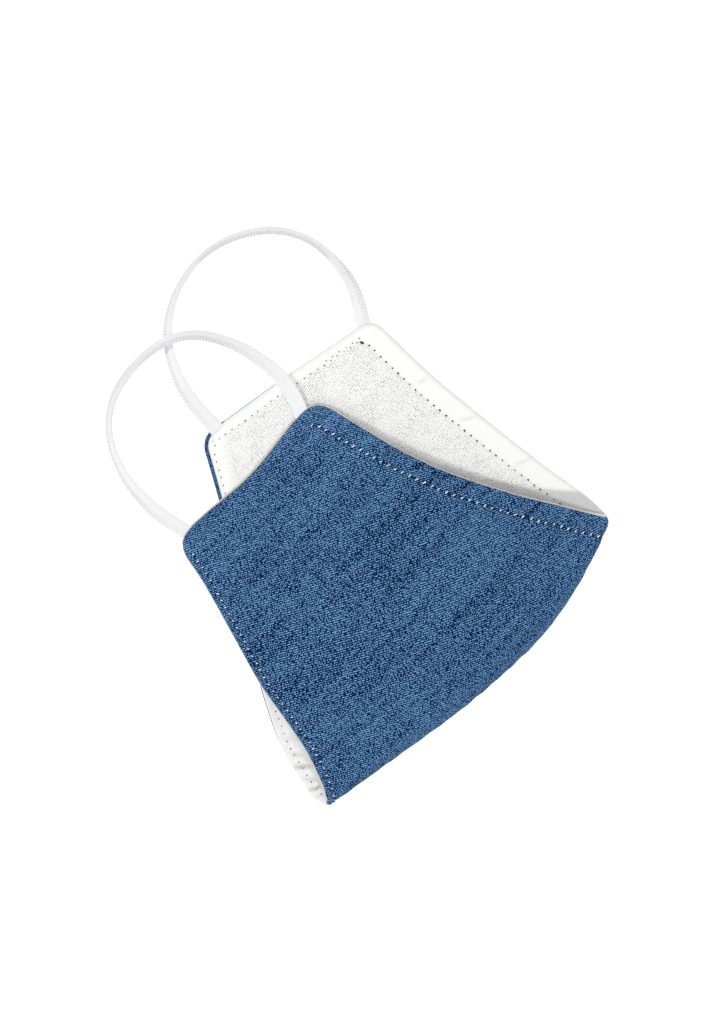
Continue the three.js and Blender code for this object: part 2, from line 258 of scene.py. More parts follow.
def steps(length, fine, pitch, both):
    """Shares from 0 to 1 at an even pitch, with finer steps beside the free edges."""
    near = np.array(fine) / length
    middle = np.linspace(near[-1], 1 - near[-1] if both else 1, max(int(length / pitch), 4))
    ends = [near[:-1], middle] + ([1 - near[:-1][::-1]] if both else [])
    return np.concatenate(ends)


def edge_line(half, edge, count=1400):
    """A free edge or the seam as many close points of the outer face, from the seam or the chin on."""
    t = np.linspace(0, 1, count)
    if edge == "nose":
        return outer_face(half, np.ones(count), 2 * t)
    if edge == "chin":
        return outer_face(half, np.zeros(count), 2 * t)
    return outer_face(half, t, np.full(count, 2.0 if edge == "ear" else 0.0))


def measured(half, points):
    """How far each point is from each edge, and how far along that edge, in millimetres."""
    found = {}
    for edge in ("nose", "chin", "ear", "seam"):
        line = edge_line(half, edge)
        along = np.concatenate([[0], np.cumsum(np.linalg.norm(np.diff(line, axis=0), axis=1))])
        tree = KDTree(len(line))
        for i, p in enumerate(line):
            tree.insert(p, i)
        tree.balance()
        near = [tree.find(p)[1:] for p in points]
        found[edge] = np.array([d for _, d in near])
        found[edge + "_along"] = along[[i for i, _ in near]]
    found["rim"] = np.minimum(np.minimum(found["nose"], found["chin"]), found["ear"])
    return found


def bump(distance, width):
    """A smooth hump: 1 at no distance, fading out over about twice the width."""
    return np.exp(-((distance / width) ** 2))


def ripples(seed, x, y, rows):
    """Soft uneven waves. Each row is a wavelength, a heading in degrees, its spread and a height."""
    luck = np.random.default_rng(seed)
    total = 0 * x
    for wavelength, heading, spread, height in rows:
        for _ in range(5):
            angle = math.radians(heading + luck.uniform(-spread, spread))
            length = wavelength * luck.uniform(0.75, 1.35)
            phase = luck.uniform(0, 2 * math.pi)
            wave = np.sin(2 * np.pi * (x * math.cos(angle) + y * math.sin(angle)) / length + phase)
            total = total + height * wave / math.sqrt(5)
    return total


# Uneven waves along the edges: the edge and a seed, then the wavelength, heading, spread and height of
# the waves, then how far in the middle of their band lies and how wide it is
RIGHT_WAVES = (
    ("nose", 9, 6.5, 38, 18, 0.14, 4, 4.5),
    ("ear", 5, 7, 50, 20, 0.1, 2, 4),
    ("chin", 7, 6, 60, 20, 0.1, 0, 4),
    ("seam", 8, 8, 10, 15, 0.1, 0, 5),
)
LEFT_WAVES = (
    ("nose", 6, 7.5, 62, 14, 0.1, 3, 4.5),
    ("ear", 3, 7, 60, 20, 0.06, 2, 4),
    ("chin", 1, 6, 120, 20, 0.14, 2, 4),
)

# Puckers across the hems: the edge, how far along it, how far in, their lean and length, and depth
RIGHT_PUCKERS = (
    ("nose", 16.0, 3.0, -58, 6.0, 0.3),
    ("nose", 30.5, 2.8, -54, 10.0, 0.62),
    ("nose", 38.5, 3.0, -60, 6.0, 0.26),
    ("nose", 49.5, 3.2, -56, 8.0, 0.4),
    ("nose", 57.3, 2.8, -57, 9.0, 0.66),
    ("nose", 66.0, 3.2, -52, 6.0, 0.3),
    ("nose", 76.0, 2.6, -55, 8.5, 0.7),
    ("nose", 88.0, 3.2, -60, 7.0, 0.34),
    ("nose", 104.0, 3.6, -70, 8.0, 0.4),
    ("nose", 12.0, 12.0, -70, 9.0, 0.25),
    ("ear", 60.0, 2.6, 62, 4.0, 0.2),
    ("ear", 38.0, 2.6, 58, 4.0, 0.16),
)
LEFT_PUCKERS = (
    ("chin", 5.0, 3.6, 50, 7.0, 0.4),
    ("chin", 9.6, 4.0, 66, 8.0, 0.66),
    ("chin", 13.4, 4.0, 48, 7.0, 0.4),
    ("chin", 19.6, 3.6, 62, 8.0, 0.6),
    ("chin", 25.0, 3.6, 50, 6.0, 0.3),
    ("chin", 32.0, 3.4, 56, 6.0, 0.2),
    ("nose", 40.0, 4.0, -60, 6.0, 0.2),
    ("nose", 66.0, 4.0, -52, 6.0, 0.2),
    ("nose", 88.0, 4.4, -66, 5.0, 0.18),
)


def edge_waves(at, rows):
    """The relief of the uneven waves along the edges."""
    total = 0 * at["rim"]
    for edge, seed, wavelength, heading, spread, height, middle, width in rows:
        waves = ripples(seed, at[edge + "_along"], at[edge], ((wavelength, heading, spread, height),))
        total = total + waves * bump(at[edge] - middle, width)
    return total


def crease(at, row):
    """How far aside of a short leaning crease each place is, and how strong the crease is there."""
    edge, place, inward, lean, length, _ = row
    angle = math.radians(lean)
    u, v = at[edge + "_along"] - place, at[edge] - inward
    along = u * math.cos(angle) - v * math.sin(angle)
    side = u * math.sin(angle) + v * math.cos(angle)
    return side, bump(along, length / 2)


def pucker(at, row):
    """The relief of a crease: a narrow valley between two low ridges."""
    side, strength = crease(at, row)
    shape = bump(side, 0.65) - 0.55 * bump(side - 1.6, 1.1) - 0.4 * bump(side + 1.8, 1.2)
    return -row[-1] * shape * strength


def wall_relief(half, at, flat):
    """How far the whole wall stands out from its plain shape."""
    x, y = flat[:, 0], flat[:, 1]
    inside = np.clip((at["rim"] - 2) / 14, 0, 1) * np.clip((at["seam"] - 2) / 10, 0, 1)
    rim_fade = np.clip(at["rim"] / 1.2, 0, 1)
    if half is RIGHT:
        body = ripples(4, x, y, ((34, 0, 16, 0.3), (17, -6, 20, 0.12)))
        hems = edge_waves(at, RIGHT_WAVES) + sum(pucker(at, row) for row in RIGHT_PUCKERS)
        return body * inside + hems * rim_fade
    body = np.minimum(ripples(2, x, y, ((30, 20, 30, 0.1), (14, 60, 25, 0.05))) - 0.12, 0)
    hems = edge_waves(at, LEFT_WAVES) - sum(pucker(at, row) for row in LEFT_PUCKERS)
    return body * inside - np.abs(hems) * rim_fade


def pinch(at):
    """How far a ply is drawn in along the stitched lines, with a dip at each stitch."""
    drawn = 0 * at["nose"]
    for edge, hem, clear in STITCHED:
        dips = 0.75 + 0.25 * np.cos(2 * np.pi * at[edge + "_along"] / STITCH_PITCH)
        shown = np.clip((at["ear"] - clear + 1) / 1.5, 0, 1) if clear else 1
        drawn = np.maximum(drawn, STITCH_SINK * dips * bump(at[edge] - hem, STITCH_REACH) * shown)
    return drawn


def roll(distance, radius):
    """Depth of a quarter-round rim."""
    t = np.clip(distance / radius, 0, 1)
    return radius * (1 - np.sqrt(np.maximum(1 - (1 - t) ** 2, 0)))


# How far the lining stands beyond the outer panel at the rim, at places along each edge
RIGHT_LIP = {
    "nose": ((0, 2, 5, 12, 60, 120), (0.2, 0.9, 1.0, 0.6, 0.55, 0.5)),
    "chin": ((0, 120), (0.65, 0.45)),
    "ear": ((0, 76), (0.75, 0.8)),
}
LEFT_LIP = {
    "nose": ((0, 60, 125), (0.1, 0.3, 0.2)),
    "chin": ((0, 24, 40, 75, 108, 122, 140), (0.15, 0.1, -0.25, -0.3, -0.6, -1.4, -1.5)),
    "ear": ((0, 6, 10, 24, 32, 40, 80), (-1.5, -1.4, -0.2, -0.25, -0.2, 0.15, 0.2)),
}


def rim_shift(half, at, normals, points):
    """How far the lining is shifted out past the rim, or in from it, fading over a few millimetres."""
    lips = RIGHT_LIP if half is RIGHT else LEFT_LIP
    shift = 0 * points
    for edge, heading in (("nose", (0, 1)), ("chin", (0, -1)), ("ear", (-1, 0))):
        line = edge_line(half, edge)
        tangent = np.gradient(line, axis=0)
        length = np.concatenate([[0], np.cumsum(np.linalg.norm(np.diff(line, axis=0), axis=1))])
        t = np.stack([np.interp(at[edge + "_along"], length, tangent[:, k]) for k in range(3)], -1)
        away = np.cross(t, normals)
        away = away / np.maximum(np.linalg.norm(away, axis=1, keepdims=True), 1e-9)
        away = away * np.sign(away[:, :2] @ np.array(heading))[:, None]
        size = np.interp(at[edge + "_along"], *lips[edge])
        nearest = at[edge] <= at["rim"] + 1e-6
        shift = shift + away * (size * nearest * np.clip(1 - at[edge] / 3.5, 0, 1))[:, None]
    return shift


def origin_in_frame():
    """Where the pattern's origin lies in the part's frame, from the lower outer panel's ear side."""
    ear = edge_line(LEFT, "ear")
    low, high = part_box("outer_left")
    nose_tip = edge_line(RIGHT, "nose")[:, 1].max()
    return Vector((low.x / MM - ear[:, 0].min(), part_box("outer_right")[1].y / MM - nose_tip, 0))


ORIGIN = np.array(origin_in_frame())


def mesh_object(name, points, faces, material):
    """A mesh object in the part's frame from points in the pattern's frame."""
    mesh = bpy.data.meshes.new(name)
    mesh.from_pydata(((points + ORIGIN) * MM).tolist(), [], [list(face) for face in faces])
    mesh.polygons.foreach_set("use_smooth", [True] * len(mesh.polygons))
    mesh.materials.append(material)
    made = bpy.data.objects.new(name, mesh)
    bpy.context.scene.collection.objects.link(made)
    return made


def lay_weave(mesh, places):
    """Keeps each point's place on the flat cloth, in millimetres, as the UV map that weaves follow."""
    corners = np.empty(len(mesh.loops), int)
    mesh.loops.foreach_get("vertex_index", corners)
    mesh.uv_layers.new(name="cloth").data.foreach_set("uv", places[corners].ravel())


def keep_values(mesh, layers):
    """Keeps a value at each point for each named layer, for the materials to read."""
    for name, values in layers.items():
        layer = mesh.attributes.new(name, "FLOAT", "POINT")
        layer.data.foreach_set("value", values.astype(np.float32))


def ply_depths(ply, at, drawn):
    """How deep a ply's two faces lie below the wall's outer face, with its rim rounded."""
    rim = np.minimum(at["rim"], at["seam"]) if ply == "outer" else at["rim"]
    spread = 2 * RIM_GAP * (1 - np.clip(rim / RIM_ROUND, 0, 1))
    if ply == "outer":
        back = OUTER_BACK + spread
        return np.minimum(drawn + roll(rim, RIM_ROUND), back), back
    back = LINING_BACK - spread
    return back, np.maximum(WALL - drawn - roll(rim, RIM_ROUND), back)


# A hem's turned cloth ends at its stitches with a short fade. By the lower half's chin edge it reaches
# further in and fades slowly.
TURN_FADE = 1.2
FAR_CHIN_TURN = 7.5
FAR_CHIN_FADE = 4.0


def doubled(half, at):
    """Where a hem's turned cloth backs a ply: 1 there, and 0 where the ply is single."""
    chin, chin_fade = (CHIN_HEM, TURN_FADE) if half is RIGHT else (FAR_CHIN_TURN, FAR_CHIN_FADE)
    share = np.clip((NOSE_HEM - at["nose"]) / TURN_FADE + 0.5, 0, 1)
    share = np.maximum(share, np.clip((EAR_HEM - at["ear"]) / TURN_FADE + 0.5, 0, 1))
    return np.maximum(share, np.clip((chin - at["chin"]) / chin_fade + 0.5, 0, 1))


def painted_light_and_wear(half, ply, at):
    """How much paler a ply is drawn: partly rubbed cloth, partly painted light, and on the lining a tan
    tint.
    """
    # On the lower half only the outer ply's rim is paler: partly rubbed cloth, partly painted light
    if half is LEFT:
        return (0 if ply == "lining" else 0.2) * bump(at["rim"], 1.4)
    # Paler rims and seam: partly rubbed cloth, partly painted light on their rounded edges
    wear_and_painted_light = np.maximum(0.5 * bump(at["rim"], 0.9), 0.7 * bump(np.maximum(at["seam"] - 0.6, 0), 1.9))
    if ply == "lining":
        # On the upper lining the rims and ear edge turn tan: partly the cloth's own tint, partly painted
        # shade at the rolled rim
        return wear_and_painted_light + 0.7 * bump(at["ear"], 0.9)
    # Broad paler bands toward the seam, the nose edge and the ear edge: painted light
    wear_and_painted_light = wear_and_painted_light + 0.35 * bump(at["seam"], 30) + 0.35 * bump(at["nose"], 22)
    return wear_and_painted_light + 0.45 * bump(at["ear"], 26)


# The painted shadow that the upper half casts on the lower one by the nose tip, at places along the
# edge:
# how far it reaches past the upper half's rim, and how dark it is painted
PAINTED_SHADOW_REACH = ((0, 15, 30, 49, 72, 84), (9.0, 7.2, 4.2, 2.7, 1.7, 0.0))
PAINTED_SHADOW_DEPTH = ((0, 20, 50), (2.3, 2.2, 1.5))
PAINTED_SHADOW_FADE = 1.2

# How dark the painted shading in the creases is, for their depth
RIGHT_CREASE_PAINTED_SHADING = 1.6
LEFT_CREASE_PAINTED_SHADING = 4.5


def painted_shading(half, ply, at, flat):
    """Painted shading: along the nose stitches, in creases, at the lower half's chin tip and rim, and
    under the upper rim.
    """
    shade = 0.4 * bump(at["nose"] - NOSE_HEM, 0.8) * (at["ear"] > EAR_HEM)
    # Painted shading along the nose stitches, where the cloth is drawn in
    if half is LEFT:
        # On the lower half: painted shading at the chin tip, where it lies under the upper half
        shade = np.maximum(0.5 * shade, 0.6 * bump(at["chin_along"] - 8, 22) * bump(at["chin"], 12))
        # Painted shadow of the upper half's nose rim on the lower half, widest by the nose tip
        upper_rim = edge_line(RIGHT, "nose")[:, :2]
        gap = np.array([np.hypot(*(upper_rim - p).T).min() for p in flat])
        reach = np.interp(at["nose_along"], *PAINTED_SHADOW_REACH)
        painted_shadow = np.clip((reach - gap) / PAINTED_SHADOW_FADE + 0.5, 0, 1) * (reach > 0)
        shade = np.maximum(shade, np.interp(at["nose_along"], *PAINTED_SHADOW_DEPTH) * painted_shadow)
        shade = np.maximum(shade, bump(gap, 3.0) * (at["nose_along"] > 30))
        # Painted shading on the lower lining's rolled rim
        if ply == "lining":
            shade = np.maximum(shade, 0.9 * bump(at["rim"] - 0.4, 0.9))
    rows, painted_dimming = (RIGHT_PUCKERS, RIGHT_CREASE_PAINTED_SHADING) if half is RIGHT else (LEFT_PUCKERS, LEFT_CREASE_PAINTED_SHADING)
    # Painted shading in the creases
    for row in rows:
        side, strength = crease(at, row)
        shade = shade + painted_dimming * row[-1] * bump(side, 0.7) * strength
    return shade


def laid_flat(face, ups):
    """Each point's place on the flat cloth: how far from the chord along its row, and how far up."""
    lengths = np.linalg.norm(np.diff(face, axis=1), axis=2)
    across = np.concatenate([np.zeros((len(ups), 1)), np.cumsum(lengths, axis=1)], 1)
    return np.stack([across - seam_point(ups)[:, :1], face[..., 1]], -1).reshape(-1, 2)


def quads(grid):
    """Four-sided faces over a grid of point numbers."""
    return np.stack([grid[:-1, :-1], grid[1:, :-1], grid[1:, 1:], grid[:-1, 1:]], -1).reshape(-1, 4)


# The grid of a panel: a length in millimetres that its shares are counted on, the fine steps beside a
# free edge, and the steps round the fold at the seam
PANEL_SPAN = 112
RIM_STEPS = (0, 0.08, 0.22, 0.42, 0.7, 1.05, 1.5)
FOLD_STEPS = 12


def panel(name, half, ply, material, pitch):
    """One ply of a half as a closed shell, and its shown face for the stitches to follow."""
    ups = steps(PANEL_SPAN, RIM_STEPS, pitch, True)
    fold = np.linspace(0, 1, FOLD_STEPS + 1)[:-1] ** 1.25
    ways = np.concatenate([fold, 1 + np.array(1 - steps(PANEL_SPAN, RIM_STEPS, pitch, False)[::-1])])
    rows, columns = len(ups), len(ways)
    up, way = (a.ravel() for a in np.meshgrid(ups, ways, indexing="ij"))
    face = outer_face(half, up, way)
    normals = outward(half, up, way)
    at = measured(half, face)
    relief = wall_relief(half, at, face)
    drawn = pinch(at)
    if ply == "outer":
        drawn = drawn + 0.5 * bump(at["seam"], 1.2)
    else:
        face = face + rim_shift(half, at, normals, face)
    sides = [face + normals * (relief - depth)[:, None] for depth in ply_depths(ply, at, drawn)]
    points = np.concatenate(sides)
    grid = np.arange(rows * columns).reshape(rows, columns)
    under = grid + rows * columns
    for rim_line in (np.s_[0, :], np.s_[-1, :], np.s_[:, 0], np.s_[:, -1]):
        under[rim_line] = grid[rim_line]
    rim_depth = RIM_DEPTH - RIM_GAP if ply == "outer" else RIM_DEPTH + RIM_GAP
    rim_points = np.concatenate([grid[[0, -1], :].ravel(), grid[:, [0, -1]].ravel()])
    points[rim_points] = (face + normals * (relief - rim_depth)[:, None])[rim_points]
    faces = np.concatenate([quads(grid), quads(under)[:, ::-1]])
    made = mesh_object(name, points, faces[:, ::-1] if half is LEFT else faces, material)
    lay_weave(made.data, np.tile(laid_flat(face.reshape(rows, columns, 3), ups), (2, 1)))
    # Values for the materials: where hems double the cloth, paling that is partly painted light, and
    # painted shading
    keep_values(made.data, {
        "hem": np.tile(doubled(half, at), 2),
        "wear_and_painted_light": np.tile(painted_light_and_wear(half, ply, at), 2),
        "shade": np.tile(painted_shading(half, ply, at, face[:, :2]), 2),
    })
    shown = {
        "points": (sides[0] if ply == "outer" else sides[1]).reshape(rows, columns, 3),
        "normals": (normals if ply == "outer" else -normals).reshape(rows, columns, 3),
        "at": {k: v.reshape(rows, columns) for k, v in at.items()},
    }
    return made, shown


def stitch_line(shown, edge, hem):
    """The line on a ply's shown face that runs at a hem's depth from its edge, with its normals."""
    turned = edge in ("nose", "ear")
    lengthways = edge in ("ear", "seam")
    field = shown["at"][edge] if lengthways else shown["at"][edge].T
    if turned:
        field = field[:, ::-1]
    depths = [shown["at"][e][..., None] for e in ("nose", "ear", "chin")]
    layers = [shown["points"], shown["normals"], *depths]
    found = []
    for k, row in enumerate(field):
        j = int(np.argmax(row > hem))
        if j == 0:
            continue
        t = (hem - row[j - 1]) / (row[j] - row[j - 1])
        a, b = (len(row) - j, len(row) - 1 - j) if turned else (j - 1, j)
        near, far = ((k, a), (k, b)) if lengthways else ((a, k), (b, k))
        found.append(np.concatenate([(1 - t) * layer[near] + t * layer[far] for layer in layers]))
    found = np.array(found)
    nose, ear, chin = found[:, 6:].T
    if edge == "seam":
        clear = nose < NOSE_HEM + 1
    elif edge == "ear":
        clear = (nose > NOSE_HEM - ROW_OVERRUN) & (chin > CHIN_HEM - ROW_OVERRUN)
    else:
        clear = ear > EAR_HEM - ROW_OVERRUN
    return found[clear][:, :6]


def spaced(line, pitch):
    """Places at an even pitch along a line, with the heading at each."""
    points = line[:, :3]
    length = np.concatenate([[0], np.cumsum(np.linalg.norm(np.diff(points, axis=0), axis=1))])
    at = np.arange(pitch / 2, length[-1], pitch)
    row = np.stack([np.interp(at, length, line[:, k]) for k in range(6)], -1)
    heading = np.stack([np.interp(at + 0.5, length, line[:, k]) for k in range(3)], -1)
    heading = heading - np.stack([np.interp(at - 0.5, length, line[:, k]) for k in range(3)], -1)
    return row[:, :3], row[:, 3:], heading


def small_form(name, rings, radius, stretch, material):
    """A small ball stretched to its form, modelled once to be copied."""
    bpy.ops.object.select_all(action="DESELECT")
    bpy.ops.mesh.primitive_uv_sphere_add(segments=8, ring_count=rings, radius=radius * MM)
    made = bpy.context.object
    made.name = name
    bpy.ops.object.mode_set(mode="EDIT")
    bpy.ops.mesh.select_all(action="SELECT")
    bpy.ops.transform.resize(value=stretch)
    bpy.ops.object.mode_set(mode="OBJECT")
    bpy.ops.object.shade_smooth()
    made.data.materials.append(material)
    return made


def one_stitch(name, length, thick, height, material):
    """A short rounded loop of thread. It lies along X with its ends in the cloth."""
    return small_form(name, 6, thick / 2, (length / thick, 1, height / thick), material)


def needle_hole(name, radius, material):
    """A shallow pit where the needle went through, a little longer than it is wide."""
    return small_form(name, 4, radius, (1.25, 0.8, 0.35), material)


# How high stitches sit on the cloth, and how uneven they are: the spread of their lean in degrees, of
# their place along and beside the row in millimetres, and of their length and width as shares
STITCH_LIFT = 0.08
LEAN_SPREAD = 8
ALONG_SPREAD = 0.1
BESIDE_SPREAD = 0.08
LENGTH_SPREAD = 0.16
WIDTH_SPREAD = 0.12


def sewn(name, rows, seed):
    """Copies of the stitches along rows of places, joined as one piece."""
    luck = np.random.default_rng(seed)
    copies = []
    for pattern, places, normals, headings, lean in rows:
        for p, n, h in zip(places, normals, headings):
            n = Vector(n).normalized()
            h = Vector(h) - Vector(h).dot(n) * n
            leaning = math.radians(lean + luck.normal(0, LEAN_SPREAD))
            h = (Matrix.Rotation(leaning, 3, n) @ h).normalized()
            side = n.cross(h)
            turn = Matrix((h, side, n)).transposed().to_4x4()
            copy = pattern.copy()
            copy.data = pattern.data.copy()
            place = Vector(p + ORIGIN) + n * STITCH_LIFT
            place = place + h * luck.normal(0, ALONG_SPREAD) + side * luck.normal(0, BESIDE_SPREAD)
            longer = 1 + luck.normal(0, LENGTH_SPREAD)
            wider = 1 + luck.normal(0, WIDTH_SPREAD)
            size = Matrix.Diagonal((longer, wider, 1, 1))
            copy.data.transform(Matrix.Translation(place * MM) @ turn @ size)
            bpy.context.scene.collection.objects.link(copy)
            copies.append(copy)
    bpy.ops.object.select_all(action="DESELECT")
    for copy in copies:
        copy.select_set(True)
    bpy.context.view_layer.objects.active = copies[0]
    bpy.ops.object.join()
    copies[0].name = name
    return copies[0]


def tone(red, green, blue):
    """A colour from its values out of 255 on a screen."""
    values = [v / 255 for v in (red, green, blue)]
    return [v / 12.92 if v <= 0.04045 else ((v + 0.055) / 1.055) ** 2.4 for v in values] + [1.0]


class Finish:
    """A material and short ways to add and join its nodes."""

    def __init__(self, name, roughness, sheen=0.0):
        self.material = bpy.data.materials.new(name)
        self.material.use_nodes = True
        self.tree = self.material.node_tree
        self.shader = self.tree.nodes["Principled BSDF"]
        self.shader.inputs["Roughness"].default_value = roughness
        self.shader.inputs["Specular IOR Level"].default_value = 0.2
        self.shader.inputs["Sheen Weight"].default_value = sheen
        self.shader.inputs["Sheen Roughness"].default_value = 0.5

    def add(self, kind, settings=None, **inputs):
        """A node with its settings. An input is named, or is _ and its number."""
        node = self.tree.nodes.new(kind)
        for key, value in (settings or {}).items():
            setattr(node, key, value)
        for key, value in inputs.items():
            socket = int(key[1:]) if key[1:].isdigit() else key.replace("_", " ")
            self.put(node.inputs[socket], value)
        return node

    def put(self, socket, value):
        if isinstance(value, bpy.types.NodeSocket):
            self.tree.links.new(value, socket)
        else:
            socket.default_value = value

    def uv(self, scale, turn=0.0):
        place = self.add("ShaderNodeUVMap", {"uv_map": "cloth"}).outputs[0]
        mapping = self.add("ShaderNodeMapping", Vector=place, Scale=(*scale, 1))
        mapping.inputs["Rotation"].default_value = (0, 0, math.radians(turn))
        return mapping.outputs[0]

    def noise(self, vector, scale=1.0, detail=1.0, rough=0.5):
        node = self.add("ShaderNodeTexNoise", Vector=vector, Scale=scale, Detail=detail, Roughness=rough)
        return node.outputs["Factor"] if "Factor" in node.outputs else node.outputs["Fac"]

    def bands(self, vector, period, distortion):
        """Even bands at a period, a little distorted."""
        scale = math.pi / 10 / period
        node = self.add("ShaderNodeTexWave", Vector=vector, Scale=scale, Distortion=distortion)
        node.inputs["Detail Scale"].default_value = 1.5
        return node.outputs[1]

    def math(self, operation, a, b=0.0, clamp=False):
        node = self.add("ShaderNodeMath", {"operation": operation, "use_clamp": clamp}, _0=a, _1=b)
        return node.outputs[0]

    def reach(self, value, low, high, to_low=0.0, to_high=1.0):
        node = self.add("ShaderNodeMapRange", _0=value, _1=low, _2=high, _3=to_low, _4=to_high)
        return node.outputs[0]

    def mix(self, share, a, b):
        node = self.add("ShaderNodeMix", {"data_type": "RGBA"}, _0=share, _6=a, _7=b)
        return node.outputs[2]

    def value(self, name):
        return self.add("ShaderNodeAttribute", {"attribute_name": name}).outputs["Fac"]

    def relief(self, height, strength, distance):
        node = self.add("ShaderNodeBump", Height=height, Strength=strength, Distance=distance)
        self.tree.links.new(node.outputs[0], self.shader.inputs["Normal"])

    def colour(self, socket):
        self.put(self.shader.inputs["Base Color"], socket)


# The chambray: crossings of its yarns to a millimetre, and the way its twill runs, in degrees
CHAMBRAY_YARNS = 2.35
TWILL_WAY = 62.0

# The muslin: crossings to a millimetre, and how far it is turned from the panel's edges, in degrees
MUSLIN_YARNS = 1.28
MUSLIN_TURN = 8.0


def chambray():
    """Blue warp over a white weft in a fine twill, slubs along the warp, paler places partly painted
    light, painted shading.
    """
    f = Finish("chambray", 0.92)
    f.shader.inputs["Specular IOR Level"].default_value = 0.04
    weave = f.uv((CHAMBRAY_YARNS, CHAMBRAY_YARNS), TWILL_WAY)
    yarns = []
    for beside in ((0, 0, 0), (1, 0, 0), (-1, 0, 0), (0, 1, 0), (0, -1, 0)):
        moved = f.add("ShaderNodeVectorMath", {"operation": "ADD"}, _0=weave, _1=beside).outputs[0]
        cell = f.add("ShaderNodeVectorMath", {"operation": "FLOOR"}, _0=moved).outputs[0]
        luck = f.add("ShaderNodeTexWhiteNoise", {"noise_dimensions": "2D"}, Vector=cell)
        yarns.append(luck.outputs["Value"])
    around = f.math("ADD", f.math("ADD", yarns[1], yarns[2]), f.math("ADD", yarns[3], yarns[4]))
    grain = f.math("SUBTRACT", yarns[0], f.math("MULTIPLY", around, 0.25))
    row = f.math("FLOOR", f.add("ShaderNodeSeparateXYZ", Vector=weave).outputs[1])
    twill = f.math("SUBTRACT", f.math("LESS_THAN", f.math("FLOORED_MODULO", row, 2.0), 0.5), 0.5)
    slubs = f.math("SUBTRACT", f.noise(f.uv((0.8, 0.06))), 0.5)
    streaks = f.math("SUBTRACT", f.noise(f.uv((0.32, 0.016))), 0.5)
    clouds = f.math("SUBTRACT", f.noise(f.uv((0.035, 0.03))), 0.5)
    layers = (
        (grain, 1.15),
        (twill, 0.6),
        (slubs, 0.12),
        (streaks, 0.5),
        (clouds, 0.18),
        # Paler places, partly rubbed cloth and partly painted light, then darker places of painted
        # shading
        (f.value("wear_and_painted_light"), 0.16),
        (f.value("shade"), -0.4),
    )
    level = 0.435
    for layer, share in layers:
        level = f.math("ADD", f.math("MULTIPLY", layer, share), level)
    ramp = f.add("ShaderNodeValToRGB", Fac=level)
    stops = ramp.color_ramp.elements
    stops[0].position = 0.0
    stops[0].color = tone(0, 3, 38)
    stops[1].position = 1.0
    stops[1].color = tone(114, 163, 209)
    stops.new(0.5).color = tone(0, 40, 86)
    f.colour(ramp.outputs[0])
    f.relief(slubs, 0.25, 0.0002)
    return f.material


def muslin():
    """Off-white plain weave, loose enough to show dark gaps where it is a single ply, with a tan rim
    tint and painted shading.
    """
    f = Finish("muslin", 0.95, 0.08)
    weave = f.uv((MUSLIN_YARNS, MUSLIN_YARNS), MUSLIN_TURN)
    kind = {"voronoi_dimensions": "2D"}
    crossings = f.add("ShaderNodeTexVoronoi", kind, Vector=weave, Scale=1.0, Randomness=0.3)
    luck = f.add("ShaderNodeSeparateXYZ", Vector=crossings.outputs["Color"]).outputs[0]
    uneven = f.noise(f.uv((0.12, 0.12)), 1.0, 2.0, 0.6)
    yarns = f.noise(f.uv((2.2, 0.12)), 1.0, 2.0)
    gap = f.reach(crossings.outputs["Distance"], 0.17, 0.38, 1.0, 0.0)
    gap = f.math("MULTIPLY", gap, f.reach(luck, 0.1, 1.0, 0.3, 1.0))
    gap = f.math("MULTIPLY", gap, f.reach(uneven, 0.3, 0.6, 0.5, 1.0))
    single = f.math("SUBTRACT", 1.0, f.value("hem"), True)
    gap = f.math("MULTIPLY", gap, f.reach(single, 0.0, 1.0, 0.04, 0.95))
    cloth = f.mix(f.reach(yarns, 0.3, 0.7), tone(242, 242, 240), tone(249, 249, 248))
    # Tan at the upper lining's rims: partly the cloth's own tint, partly painted shade at the rolled rim
    cloth = f.mix(f.math("MULTIPLY", f.value("wear_and_painted_light"), 1.3, True), cloth, tone(206, 194, 172))
    # Painted shading in grey: by the stitches, in the creases and where the upper half shadows the lower
    cloth = f.mix(f.math("MULTIPLY", f.value("shade"), 0.25, True), cloth, tone(150, 150, 150))
    f.colour(f.mix(gap, cloth, tone(60, 66, 70)))
    f.relief(f.math("SUBTRACT", yarns, gap), 0.4, 0.0002)
    return f.material


def elastic():
    """White knitted elastic: fine courses across it, soft grey between its rungs, and painted shading
    along its length.
    """
    f = Finish("elastic", 0.75, 0.1)
    courses = f.bands(f.uv((1.0, 1.0)), 0.56, 0.4)
    wales = f.bands(f.uv((1.0, 1.0), 90.0), 0.72, 0.2)
    uneven = f.noise(f.uv((0.8, 1.4)), 1.0, 2.0, 0.6)
    yarn = f.mix(f.reach(uneven, 0.3, 0.7), tone(236, 236, 238), tone(246, 246, 246))
    yarn = f.mix(f.math("MULTIPLY", courses, 0.16), yarn, tone(208, 208, 213))
    # Painted shading along the band, from its loop's table of shares
    yarn = f.mix(f.value("shade"), yarn, tone(204, 204, 207))
    f.colour(f.mix(f.math("MULTIPLY", f.value("gap"), 0.6), yarn, tone(186, 187, 194)))
    f.relief(f.math("ADD", courses, wales), 0.35, 0.00015)
    return f.material


def thread(name, light, dark, roughness=0.6):
    """Twisted sewing thread in two close shades."""
    f = Finish(name, roughness, 0.1)
    place = f.add("ShaderNodeTexCoord").outputs["Object"]
    twist = f.noise(place, 2600.0)
    f.colour(f.mix(f.reach(twist, 0.35, 0.65), dark, light))
    f.relief(twist, 0.4, 0.00008)
    return f.material


CHAMBRAY = chambray()
MUSLIN = muslin()
ELASTIC = elastic()
CREAM_THREAD = thread("cream_thread", tone(250, 252, 255), tone(224, 230, 238))
BLUE_THREAD = thread("blue_thread", tone(46, 66, 100), tone(14, 28, 56))
# Near-black thread for the needle holes: painted shadow in the holes
PAINTED_HOLE_SHADOW = thread("painted_needle_hole_shadow", tone(8, 16, 30), tone(0, 4, 12), 0.95)

